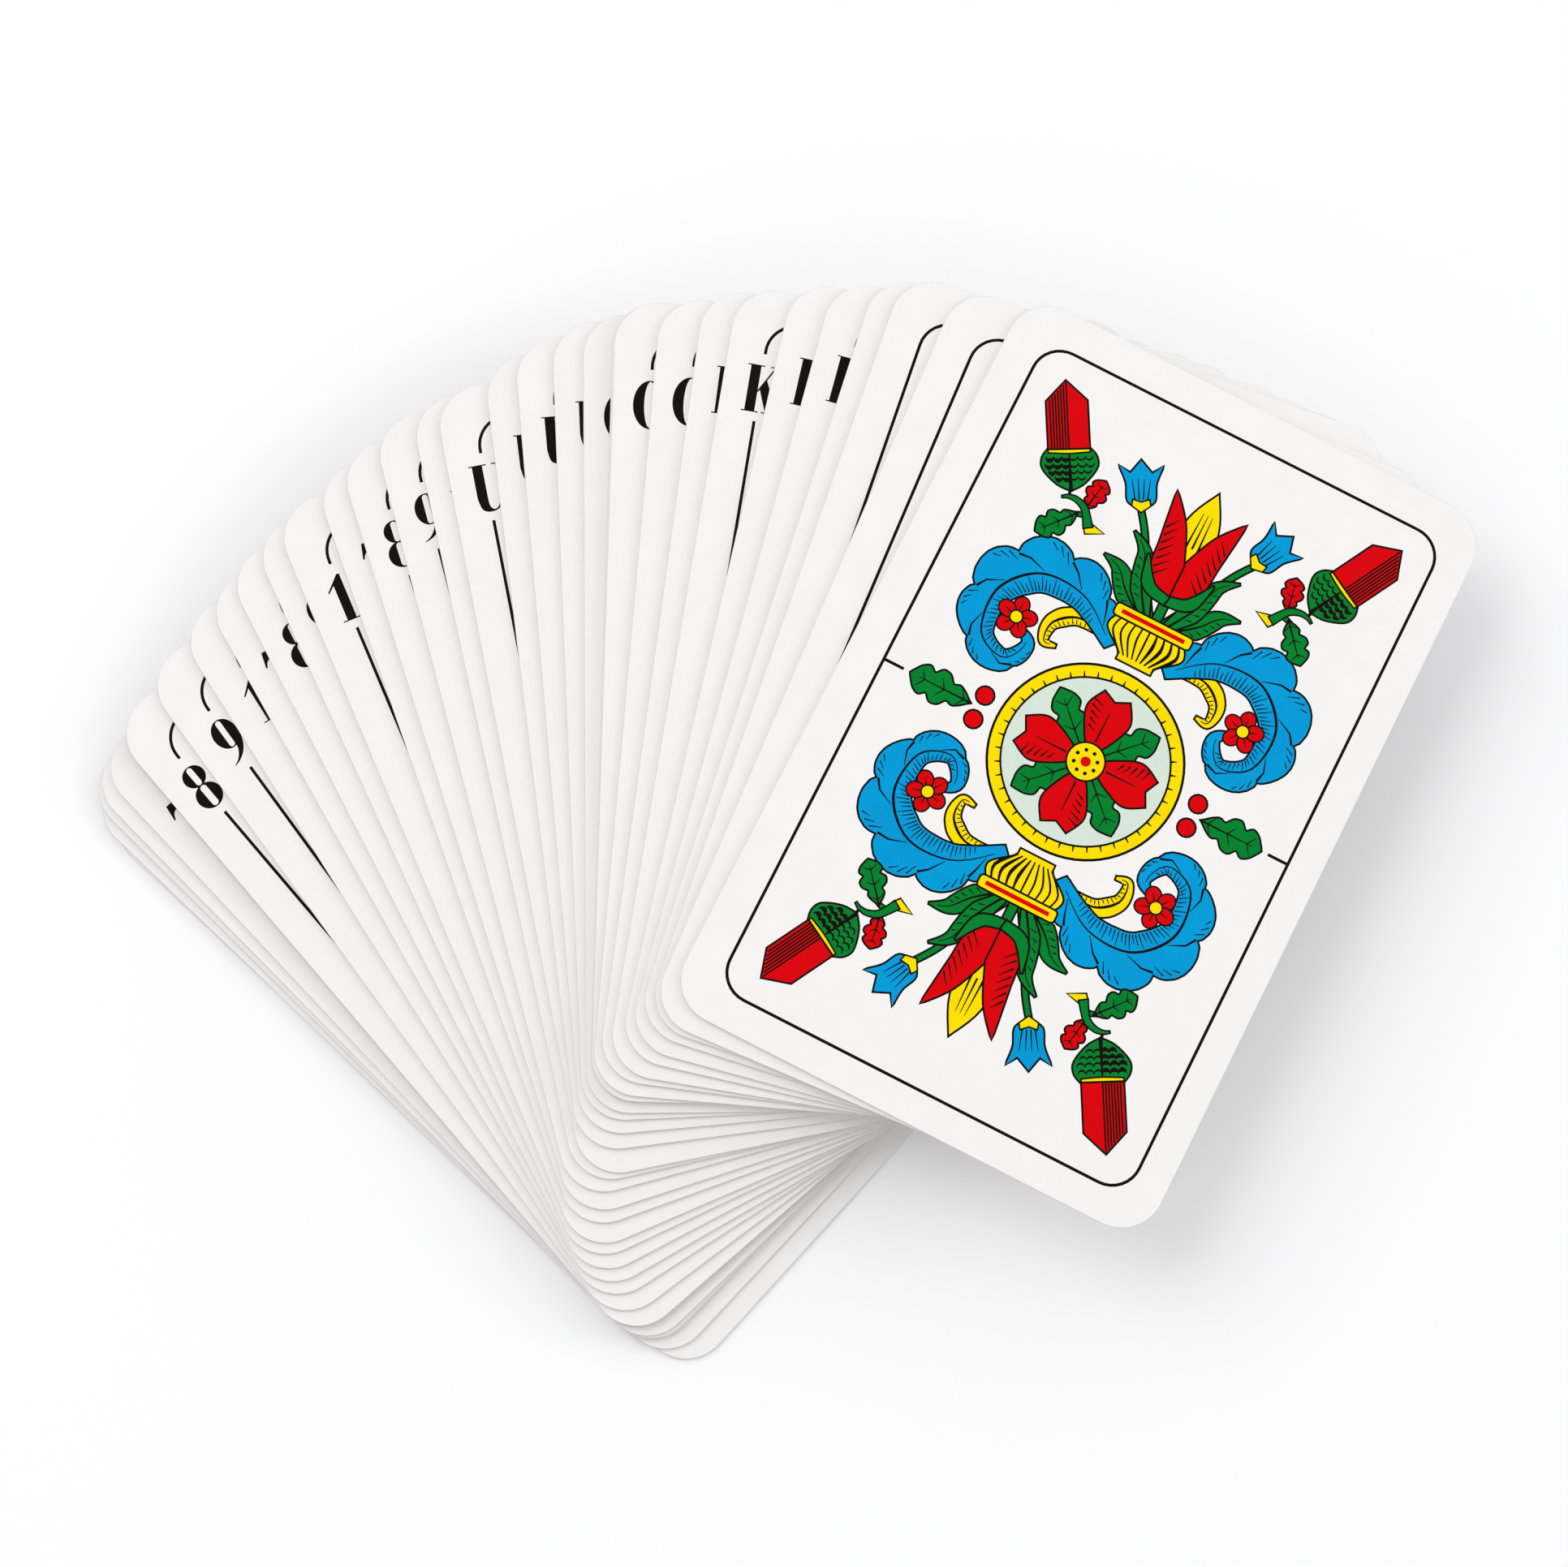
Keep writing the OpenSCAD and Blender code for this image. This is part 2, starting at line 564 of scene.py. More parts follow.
@dataclass(frozen=True)
class RankSign:
    """The figure or letter in a card's corner, one unit high, standing on the origin."""

    text: str
    hairline: float = 0.026
    figure_gap: float = 0.66

    def draw(self, pen: Pen) -> None:
        """Draws the figures side by side, the first one over the origin."""
        shapes: dict[str, Callable[[Pen], None]] = {
            "0": self.nought, "1": self.one, "7": self.seven, "8": self.eight, "9": self.nine,
            "U": self.letter_u, "O": self.letter_o, "K": self.letter_k,
        }
        for place, character in enumerate(self.text):
            shapes[character](pen.moved(self.figure_gap * place, 0.0))

    def bowl(self, pen: Pen, y: float, across: float, high: float, slot: float) -> None:
        """Draws a ring with heavy sides and hairlines above and below."""
        pen.fill(Ink.BLACK, ellipse(0.0, y, across, high, 48))
        pen.fill(Ink.PAPER, ellipse(0.0, y, slot, high - self.hairline, 40))

    def eye(self, pen: Pen, y: float, across: float, high: float) -> None:
        """Draws the narrow round-ended opening of a figure."""
        pen.moved(0.0, y).fill(Ink.PAPER, rounded_box(across, high - self.hairline, across))

    def serif(self, pen: Pen, left: float, right: float, low: float) -> None:
        """Draws a hairline foot or head."""
        pen.fill(Ink.BLACK, box(left, low, right, low + self.hairline))

    def nought(self, pen: Pen) -> None:
        """Draws the figure 0."""
        self.bowl(pen, 0.5, 0.31, 0.5, 0.1)

    def one(self, pen: Pen) -> None:
        """Draws the figure 1."""
        flag = curve([(-0.26, 0.69), (-0.24, 0.67), (-0.1, 0.79)], 3)
        pen.fill(Ink.BLACK, [(-0.1, 0.0), (0.1, 0.0), (0.1, 1.0), (0.04, 1.0), *flag])
        self.serif(pen, -0.19, 0.19, 0.0)

    def seven(self, pen: Pen) -> None:
        """Draws the figure 7."""
        spur = curve([(-0.3, 0.67), (-0.23, 0.79), (-0.08, 0.84), (0.2, 0.83)], 4)
        front = curve([(0.2, 0.83), (-0.06, 0.42), (-0.16, 0.0)], 6)
        back = curve([(0.06, 0.0), (0.1, 0.46), (0.3, 0.92)], 6)
        pen.fill(Ink.BLACK, [(-0.27, 1.0), (-0.335, 0.67), *spur, *front[1:], *back, (0.3, 1.0)])

    def eight(self, pen: Pen) -> None:
        """Draws the figure 8."""
        pen.fill(Ink.BLACK, ellipse(0.0, 0.763, 0.243, 0.237, 40))
        pen.fill(Ink.BLACK, ellipse(0.0, 0.275, 0.28, 0.275, 44))
        self.eye(pen, 0.763, 0.062, 0.237)
        self.eye(pen, 0.275, 0.07, 0.275)

    def nine(self, pen: Pen) -> None:
        """Draws the figure 9."""
        outer = curve([(0.265, 0.67), (0.238, 0.42), (0.135, 0.21), (-0.035, 0.065), (-0.21, 0.0)], 6)
        inner = curve([(-0.21, 0.014), (-0.07, 0.105), (0.035, 0.255), (0.06, 0.42), (0.055, 0.67)], 6)
        pen.fill(Ink.BLACK, [*outer, *inner])
        pen.fill(Ink.BLACK, ellipse(0.0, 0.67, 0.265, 0.33, 48))
        self.eye(pen, 0.67, 0.058, 0.33)

    def letter_u(self, pen: Pen) -> None:
        """Draws the letter U."""
        outside = curve([(-0.222, 0.3), (-0.15, 0.06), (0.04, 0.0), (0.22, 0.08), (0.29, 0.34)], 6)
        inside = curve([(0.262, 0.34), (0.19, 0.11), (0.09, 0.045), (0.01, 0.12), (-0.01, 0.3)], 6)
        pen.fill(Ink.BLACK, [(-0.222, 1.0), *outside, (0.29, 1.0), (0.262, 1.0), *inside, (-0.01, 1.0)])
        self.serif(pen, -0.29, 0.07, 1.0 - self.hairline)
        self.serif(pen, 0.18, 0.37, 1.0 - self.hairline)

    def letter_o(self, pen: Pen) -> None:
        """Draws the letter O."""
        self.bowl(pen, 0.5, 0.355, 0.51, 0.125)

    def letter_k(self, pen: Pen) -> None:
        """Draws the letter K."""
        pen.fill(Ink.BLACK, box(-0.225, 0.0, -0.015, 1.0))
        pen.stroke(Ink.BLACK, [(-0.015, 0.44), (0.29, 0.99)], self.hairline * 1.3)
        pen.fill(Ink.BLACK, [(0.02, 0.5), (0.21, 0.0), (0.46, 0.0), (0.14, 0.71)])
        head = 1.0 - self.hairline
        serifs = ((-0.29, 0.06, 0.0), (-0.29, 0.06, head), (0.12, 0.53, 0.0), (0.18, 0.42, head))
        for left, right, low in serifs:
            self.serif(pen, left, right, low)


# Card faces


@dataclass(frozen=True)
class Scroll:
    """A curled leaf of an ornament, with lobes on its outer side, a fold along its middle and hatching."""

    middle: tuple[Point, ...]
    widths: tuple[float, ...]
    ink: Ink = Ink.BLUE
    lobes: int = 0
    hatch_lines: int = 24
    hatch: float = 0.17

    def draw(self, pen: Pen) -> None:
        """Draws the leaf, its fold, the veins of its lobes and its hatching."""
        band = Band(curve(self.middle, 8), self.widths, self.lobes)
        pen.edged(self.ink, band.outline())
        pen.stroke(Ink.BLACK, band.trace(np.linspace(0.04, 0.94, 40), -0.1), 0.1, 0.34, 0.1)
        hatch = (self.hatch, self.hatch * 0.5)
        for lobe in range(1, self.lobes):
            notch = lobe / self.lobes
            vein = band.trace(notch - np.array([0.0, 0.2, 0.5]) / self.lobes, (0.96, 0.45, 0.02))
            pen.stroke(Ink.BLACK, vein, 0.3, 0.2, 0.08)
            for shade in (0.16, 0.3, 0.44):
                shares = notch + np.array([0.0, -0.1]) / self.lobes + shade / self.lobes
                pen.stroke(Ink.BLACK, band.trace(shares, (0.9, 0.5 + shade / 2)), *hatch)
        for number in range(self.hatch_lines):
            share = 0.1 + 0.8 * number / self.hatch_lines
            line = band.trace((share, share + 0.008), (-0.94, -0.5 + 0.14 * (number % 3)))
            pen.stroke(Ink.BLACK, line, *hatch)


@dataclass(frozen=True)
class Blossom:
    """A small flower of five round petals about the origin."""

    radius: float
    ink: Ink = Ink.RED
    petals: int = 5

    def draw(self, pen: Pen) -> None:
        """Draws petals and heart."""
        radius = self.radius
        for petal in pen.turns(self.petals):
            petal.edged(self.ink, ellipse(0.0, radius * 0.6, radius * 0.36, radius * 0.42, 20), 0.2)
            petal.stroke(Ink.BLACK, [(0.0, radius * 0.3), (0.0, radius * 0.75)], 0.2, 0.08)
        pen.edged(Ink.YELLOW, disc(0.0, 0.0, radius * 0.28, 20), 0.2)


@dataclass(frozen=True)
class Rosette:
    """A medallion with a rimmed field and a flower of four petals and four leaves, about the origin."""

    radius: float = 11.0
    rim: float = 1.5
    petal: float = 8.4
    petal_width: float = 5.2
    heart: float = 2.1
    beads: int = 40

    def draw(self, pen: Pen) -> None:
        """Draws rim, field, petals and heart."""
        field_radius = self.radius - self.rim
        pen.edged(Ink.YELLOW, disc(0.0, 0.0, self.radius, 72), 0.3)
        for bead in pen.turns(self.beads):
            bead.stroke(Ink.BLACK, [(0.0, field_radius), (0.0, self.radius - self.rim * 0.45)], 0.3, 0.1)
        pen.edged(Ink.PALE, disc(0.0, 0.0, field_radius, 72))
        for quarter in pen.turns(4, 45.0):
            Foliage(self.petal * 1.04, self.petal_width * 0.72).draw(quarter)
        for quarter in pen.turns(4):
            self.flower_petal(quarter)
        pen.edged(Ink.YELLOW, disc(0.0, 0.0, self.heart))
        for seed in range(8):
            turn = math.radians(22.5 + 45 * seed)
            x, y = self.heart * 0.64 * math.cos(turn), self.heart * 0.64 * math.sin(turn)
            pen.fill(Ink.BLACK, disc(x, y, self.heart * 0.11, 10))
        pen.fill(Ink.RED, disc(0.0, 0.0, self.heart * 0.28, 16))

    def flower_petal(self, pen: Pen) -> None:
        """Draws one red petal with its hatched left side."""
        half, high = self.petal_width / 2, self.petal
        right = curve([
            (0.0, high * 0.08), (half * 0.62, high * 0.38), (half, high * 0.7), (half * 0.6, high * 0.97),
        ])
        pen.edged(Ink.RED, both_sides(right, (0.0, high * 0.88)))
        pen.stroke(Ink.BLACK, [(0.0, high * 0.3), (0.0, high * 0.74)], 0.24, 0.1)
        for line in range(5):
            low = high * (0.42 + 0.09 * line)
            reach = half * (0.62 + 0.08 * line)
            pen.stroke(Ink.BLACK, [(-reach, low + high * 0.06), (-reach * 0.4, low)], 0.24, 0.08)


@dataclass(frozen=True)
class Bouquet:
    """A fluted cup with a tulip, two bellflowers and leaves, rising from the rim of a medallion."""

    foot: float = 12.2
    cup_width: float = 9.4
    cup_height: float = 5.8
    flower: float = 15.6

    def draw(self, pen: Pen) -> None:
        """Draws leaves, flowers and cup."""
        over_cup = pen.moved(0.0, self.foot + self.cup_height)
        for branch in over_cup.sides():
            stem = curve([(0.6, -0.4), (3.4, 4.4), (5.6, 8.6), (7.6, 11.4)], 6)
            branch.ribbon(Ink.GREEN, stem, 0.6, 0.5)
            self.bellflower(branch.moved(8.3, 13.2, -26.0))
            self.blade(branch, ((2.0, -0.4), (4.6, 1.6), (6.4, 3.6), (8.5, 4.3)), (1.0, 2.5, 1.9, 0.1))
            self.blade(branch, ((1.2, -0.4), (3.4, 3.2), (4.6, 6.6), (6.6, 8.2)), (0.8, 2.3, 1.8, 0.1))
        self.tulip(over_cup)
        self.cup(pen)

    def blade(self, pen: Pen, points: Sequence[Point], widths: tuple[float, ...]) -> None:
        """Draws one long leaf with its rib and a few strokes of shade."""
        band = Band(curve(points, 6), widths)
        pen.edged(Ink.GREEN, band.outline())
        pen.stroke(Ink.BLACK, band.trace(np.linspace(0.05, 0.9, 12), 0.0), 0.3, 0.1)
        for share in (0.3, 0.4, 0.5, 0.6, 0.7):
            pen.stroke(Ink.BLACK, band.trace((share, share - 0.05), (-0.8, -0.25)), 0.2, 0.08)

    def bellflower(self, pen: Pen) -> None:
        """Draws a blue flower with a toothed mouth, its middle at the origin."""
        side = curve([(0.0, -2.5), (1.5, -1.7), (1.7, 0.4), (2.5, 2.4)], 5)
        teeth = [(1.25, 1.5), (0.0, 3.0), (-1.25, 1.5)]
        pen.edged(Ink.BLUE, both_sides(side, *teeth))
        for x in (-0.9, -0.3, 0.3, 0.9):
            pen.stroke(Ink.BLACK, [(x * 0.8, -1.5), (x * 1.2, 0.9)], 0.2, 0.08)
        pen.edged(Ink.YELLOW, both_sides([(0.0, -2.9), (1.0, -2.2), (0.9, -1.6), (0.0, -1.9)]), 0.2)

    def tulip(self, pen: Pen) -> None:
        """Draws the flower, standing on the origin."""
        high = self.flower
        pen.ribbon(Ink.GREEN, [(0.0, -0.5), (0.0, high * 0.3)], 0.9, 0.9)
        inner = curve([(0.0, high * 0.22), (2.3, high * 0.45), (1.8, high * 0.8), (0.0, high * 1.05)])
        pen.edged(Ink.YELLOW, both_sides(inner))
        for x in (-0.8, 0.0, 0.8):
            pen.stroke(Ink.BLACK, [(x * 0.9, high * 0.6), (x * 0.7, high * 0.88)], 0.26, 0.08)
        for petal in pen.sides():
            edge = curve([(0.0, high * 0.2), (3.0, high * 0.3), (3.7, high * 0.58), (4.4, high * 0.94)])
            fold = curve([(4.4, high * 0.94), (1.9, high * 0.74), (0.0, high * 0.46)])
            petal.edged(Ink.RED, [*edge, *fold[1:]])
            for line in range(7):
                low = high * (0.3 + 0.06 * line)
                shade = [(2.9 + 0.14 * line, low), (1.5 + 0.2 * line, low + high * 0.09)]
                petal.stroke(Ink.BLACK, shade, 0.24, 0.08)
            sepal = curve([(0.0, high * 0.17), (2.6, high * 0.22), (4.1, high * 0.42)])
            petal.ribbon(Ink.GREEN, sepal, 1.0, 1.3, 0.1)

    def cup(self, pen: Pen) -> None:
        """Draws the fluted cup with its rim."""
        half, low, top = self.cup_width / 2, self.foot, self.foot + self.cup_height
        side = curve([
            (half * 0.44, low), (half * 0.5, low + 1.0), (half * 0.98, low + 3.0), (half * 0.84, top - 1.0),
        ], 6)
        pen.edged(Ink.YELLOW, both_sides(side))
        for number in range(-4, 5):
            flute = curve([
                (half * 0.11 * number, low + 0.6), (half * 0.21 * number, low + 2.8),
                (half * 0.19 * number, top - 1.2),
            ], 4)
            pen.stroke(Ink.BLACK, flute, 0.18, 0.46 if number > 0 else 0.26, 0.2)
        pen.edged(Ink.YELLOW, rounded(box(-half, top - 1.3, half, top), 0.4))
        pen.fill(Ink.RED, box(-half * 0.84, top - 0.9, half * 0.84, top - 0.4))


@dataclass(frozen=True)
class CardFace:
    """The print on the face of one card."""

    suit: Suit
    rank: Rank
    half_width: float
    half_length: float
    margin: float = 4.1
    frame_radius: float = 3.4
    frame_line: float = 0.36
    index_height: float = 5.55
    index_inset: float = 4.0
    index_drop: float = 12.0
    gap_above: float = 7.9
    gap_below: float = 15.8
    tick: float = 2.5
    corner_lean: float = 29.0
    patches: list[Patch] = field(default_factory=list)

    def draw(self) -> list[Patch]:
        """Draws the whole face.

        Returns:
            The patches of ink, the uppermost last.
        """
        pen = Pen(self.patches, *PRINT_SHIFTS[self.rank])
        if self.rank is Rank.ACE:
            self.whole_frame(pen)
            self.ace(pen)
            return self.patches
        for half in pen.turns(2):
            self.half_frame(half)
        if self.rank in (Rank.UNTER, Rank.OBER, Rank.KING):
            self.court(pen)
        else:
            self.pips(pen)
        return self.patches

    def whole_frame(self, pen: Pen) -> None:
        """Draws the unbroken frame of an ace, with a tick at the middle of each side."""
        across, high = self.half_width - self.margin, self.half_length - self.margin
        half = self.frame_line / 2
        pen.fill(Ink.BLACK, rounded_box(across + half, high + half, self.frame_radius + half))
        pen.fill(Ink.PAPER, rounded_box(across - half, high - half, self.frame_radius - half))
        for side in pen.sides():
            side.fill(Ink.BLACK, box(across - self.tick, -half, across, half))

    def half_frame(self, pen: Pen) -> None:
        """Draws the frame from below the upper index round to the lower one, and the upper index."""
        across, high = self.half_width - self.margin, self.half_length - self.margin
        radius = self.frame_radius
        low = [
            (-across, self.half_length - self.gap_below),
            *arc(-across + radius, -high + radius, radius, 180, 270, 12),
            *arc(across - radius, -high + radius, radius, 270, 360, 12),
            (across, self.gap_above - self.half_length),
        ]
        pen.stroke(Ink.BLACK, low, self.frame_line)
        x = self.index_inset - self.half_width
        y = self.half_length - self.index_drop - self.index_height / 2
        RankSign(INDEX_SIGNS[self.rank]).draw(pen.moved(x, y, size=self.index_height))

    def pips(self, pen: Pen) -> None:
        """Draws the suit signs of a number card in two columns, with odd ones in the middle."""
        count = {Rank.SEVEN: 7, Rank.EIGHT: 8, Rank.NINE: 9, Rank.TEN: 10}[self.rank]
        rows, size = (3, 0.94) if count < 9 else (4, 0.8)
        column, reach = self.half_width * 0.4, self.half_length * 0.66
        heights = [reach * (1 - 2 * row / (rows - 1)) for row in range(rows)]
        places = [(side * column, height) for height in heights for side in (-1, 1)]
        middle = reach / (rows - 1)
        places += {1: [(0.0, middle)], 2: [(0.0, middle), (0.0, -middle)]}[count - len(places)]
        for x, y in places:
            SIGNS[self.suit].draw(pen.moved(x, y, 180.0 if y < -SAME_POINT_MM else 0.0, size))

    def court(self, pen: Pen) -> None:
        """Draws a double-ended panel with a large suit sign in each half and an ornament for the rank."""
        across = self.half_width - self.margin - 2.2
        slope, half_bar = 7.0, 0.9
        scroll = Scroll(
            ((4.0, 9.0), (9.0, 12.5), (14.5, 11.0), (16.6, 6.8), (14.0, 4.4), (11.6, 6.2)),
            (0.8, 3.0, 3.4, 2.4, 1.4, 0.3),
        )
        flower = Rosette(radius=4.4, rim=0.8, petal=3.3, petal_width=1.9, heart=0.9, beads=20)
        sign_y = {Rank.UNTER: 20.0, Rank.OBER: 29.0, Rank.KING: 20.5}[self.rank]
        badge_y = {Rank.UNTER: 33.0, Rank.OBER: 17.0, Rank.KING: 31.5}[self.rank]
        for half in pen.turns(2):
            for side in half.moved(0.0, 3.4).sides():
                scroll.draw(side)
            SIGNS[self.suit].draw(half.moved(0.0, sign_y, size=1.25))
            badge = half.moved(0.0, badge_y)
            if self.rank is Rank.KING:
                self.crown(badge)
            else:
                flower.draw(badge)
        pen.edged(Ink.YELLOW, [
            (-across, -slope - half_bar), (across, slope - half_bar),
            (across, slope + half_bar), (-across, -slope + half_bar),
        ])
        pen.stroke(Ink.RED, [(-across + 1.0, -slope), (across - 1.0, slope)], 0.7)

    def crown(self, pen: Pen) -> None:
        """Draws a plain open crown, standing on the origin."""
        points = [(-5.0, 0.0), (5.0, 0.0), (6.2, 5.4), (3.0, 3.0), (0.0, 6.6), (-3.0, 3.0), (-6.2, 5.4)]
        pen.edged(Ink.YELLOW, points)
        pen.edged(Ink.RED, box(-5.0, 0.3, 5.0, 1.5))
        for x, y in points[2::2]:
            pen.edged(Ink.BLUE, disc(x, y + 0.4, 0.8, 16))

    def ace(self, pen: Pen) -> None:
        """Draws the medallion of an ace with its scrolls and bouquets, and a suit sign in each corner."""
        outer = Scroll(
            (
                (3.4, 13.2), (8.2, 17.0), (14.0, 17.2), (17.8, 13.2),
                (17.2, 7.8), (13.6, 6.2), (11.9, 8.8), (13.4, 10.4),
            ),
            (1.4, 3.6, 4.6, 4.8, 4.0, 2.8, 1.8, 0.3),
            lobes=7,
            hatch_lines=44,
        )
        inner = Scroll(
            ((4.6, 14.0), (8.0, 14.4), (10.4, 12.6), (10.4, 10.2), (8.9, 10.2)),
            (0.8, 1.7, 2.0, 1.3, 0.3),
            Ink.YELLOW,
            hatch_lines=14,
        )
        for half in pen.turns(2):
            for quarter in half.sides():
                inner.draw(quarter)
                outer.draw(quarter)
                Blossom(2.3).draw(quarter.moved(14.3, 11.2))
            Bouquet().draw(half)
            Foliage(7.4, 4.0).draw(half.moved(14.6, 0.0, -90.0))
            for y in (-1.5, 1.5):
                half.edged(Ink.RED, disc(13.4, y, 0.95, 16))
        Rosette().draw(pen)
        corner_x, corner_y, size = (17.6, 31.4, 1.0) if self.suit is Suit.ACORNS else (16.6, 32.0, 0.85)
        for half in pen.turns(2):
            for quarter in half.sides():
                SIGNS[self.suit].draw(quarter.moved(corner_x, corner_y, -self.corner_lean, size))


# Finishes


class NodeBoard:
    """Adds nodes to a shader tree and links their inputs in one call."""

    def __init__(self, tree: bpy.types.NodeTree) -> None:
        """Starts on a tree."""
        self.tree = tree

    def add(self, kind: str, settings: dict[str, Any] | None = None, **inputs: Any) -> bpy.types.Node:
        """Adds one node.

        Args:
            kind: The node's type.
            settings: Its properties.
            **inputs: Its inputs by name, with _ for a space, or by place as in_0; a socket is linked
                and a value set.

        Returns:
            The new node.
        """
        node = self.tree.nodes.new(kind)
        for name, value in (settings or {}).items():
            setattr(node, name, value)
        for name, value in inputs.items():
            key: int | str = int(name[3:]) if name.startswith("in_") else name.replace("_", " ")
            if isinstance(value, bpy.types.NodeSocket):
                self.tree.links.new(value, node.inputs[key])
            else:
                node.inputs[key].default_value = value
        return node

    def math(self, operation: str, *values: Any) -> bpy.types.NodeSocket:
        """Adds one sum or comparison and gives its result."""
        inputs = {f"in_{place}": value for place, value in enumerate(values)}
        return self.add("ShaderNodeMath", {"operation": operation}, **inputs).outputs[0]

    def vector(
        self, operation: str, first: Any, second: Any, result: str = "Vector"
    ) -> bpy.types.NodeSocket:
        """Adds one sum of two vectors and gives its result."""
        node = self.add("ShaderNodeVectorMath", {"operation": operation}, in_0=first, in_1=second)
        return node.outputs[result]

    def noise(self, place: Any, scale: Any, detail: float) -> bpy.types.NodeSocket:
        """Adds a noise and gives its level."""
        return self.add("ShaderNodeTexNoise", Vector=place, Scale=scale, Detail=detail).outputs["Fac"]

    def mix(self, share: Any, first: Any, second: Any) -> bpy.types.NodeSocket:
        """Mixes two colours and gives the result."""
        node = self.add("ShaderNodeMix", {"data_type": "RGBA"}, in_0=share, in_6=first, in_7=second)
        return node.outputs[2]


def new_group(
    name: str, inputs: dict[str, str], outputs: dict[str, str]
) -> tuple[bpy.types.NodeTree, NodeBoard]:
    """Starts a shader node group with named sockets.

    Args:
        name: The group's name.
        inputs: Its inputs' names and kinds, such as Float or Color.
        outputs: Its outputs' names and kinds.

    Returns:
        The group and a board to build it on.
    """
    tree = bpy.data.node_groups.new(name, "ShaderNodeTree")
    for direction, sockets in (("INPUT", inputs), ("OUTPUT", outputs)):
        for socket, kind in sockets.items():
            tree.interface.new_socket(socket, in_out=direction, socket_type=f"NodeSocket{kind}")
    return tree, NodeBoard(tree)


def board_grain() -> bpy.types.NodeTree:
    """Builds the grain that board and inks share: soft clouds of tone, fine fibres and uneven gloss.

    Returns:
        A group from two tones to a colour, a roughness and a height.
    """
    tree, board = new_group(
        "board_grain",
        {"Tone": "Color", "Cloud Tone": "Color", "Cloud Scale": "Float", "Fibre Scale": "Float",
         "Roughness": "Float", "Gloss Spread": "Float"},
        {"Colour": "Color", "Roughness": "Float", "Height": "Float"},
    )
    cloud_share, fibre_share = 0.6, 0.4
    given = board.add("NodeGroupInput").outputs
    place = board.add("ShaderNodeTexCoord").outputs["Object"]
    clouds = board.noise(place, given["Cloud Scale"], 3.0)
    fibres = board.noise(place, given["Fibre Scale"], 2.0)
    both = board.math(
        "ADD", board.math("MULTIPLY", clouds, cloud_share), board.math("MULTIPLY", fibres, fibre_share)
    )
    share = board.add("ShaderNodeMapRange", Value=both, From_Min=0.35, From_Max=0.65).outputs[0]
    spread = board.math("MULTIPLY", board.math("SUBTRACT", share, 0.5), given["Gloss Spread"])
    colour = board.mix(share, given["Tone"], given["Cloud Tone"])
    roughness = board.math("ADD", given["Roughness"], spread)
    board.add("NodeGroupOutput", Colour=colour, Roughness=roughness, Height=fibres)
    return tree


def back_lattice() -> bpy.types.NodeTree:
    """Builds the lattice print of a card's back from its own flat coordinates in mm.

    Returns:
        A group from a place and the print's half sizes to a mask of ink.
    """
    tree, board = new_group(
        "back_lattice",
        {"Place": "Vector", "Half Width": "Float", "Half Length": "Float", "Pitch": "Float"},
        {"Ink": "Float"},
    )
    line_share, lozenge_share, eye_share = 0.07, 0.24, 0.38
    rim_width, field_inset = 0.8, 1.6
    given = board.add("NodeGroupInput").outputs
    split = board.add("ShaderNodeSeparateXYZ", Vector=given["Place"]).outputs
    x, y = split[0], split[1]

    def waves(sign: str) -> bpy.types.NodeSocket:
        """Gives the distance from the nearest slanting line, as a share of the pitch."""
        lean = board.math("DIVIDE", board.math(sign, x, y), given["Pitch"])
        return board.math("PINGPONG", lean, 0.5)

    nearest = board.math("MINIMUM", waves("ADD"), waves("SUBTRACT"))
    lines = board.math("LESS_THAN", nearest, line_share)
    lozenge = board.math("GREATER_THAN", nearest, lozenge_share)
    eye = board.math("GREATER_THAN", nearest, eye_share)
    pattern = board.math("SUBTRACT", board.math("MAXIMUM", lines, lozenge), eye)
    inside = board.math(
        "MINIMUM",
        board.math("SUBTRACT", given["Half Width"], board.math("ABSOLUTE", x)),
        board.math("SUBTRACT", given["Half Length"], board.math("ABSOLUTE", y)),
    )
    field_mask = board.math("GREATER_THAN", inside, field_inset)
    within, outer = board.math("GREATER_THAN", inside, 0.0), board.math("LESS_THAN", inside, rim_width)
    rim = board.math("MULTIPLY", within, outer)
    shown = board.math("MAXIMUM", board.math("MULTIPLY", pattern, field_mask), rim)
    board.add("NodeGroupOutput", Ink=shown)
    return tree


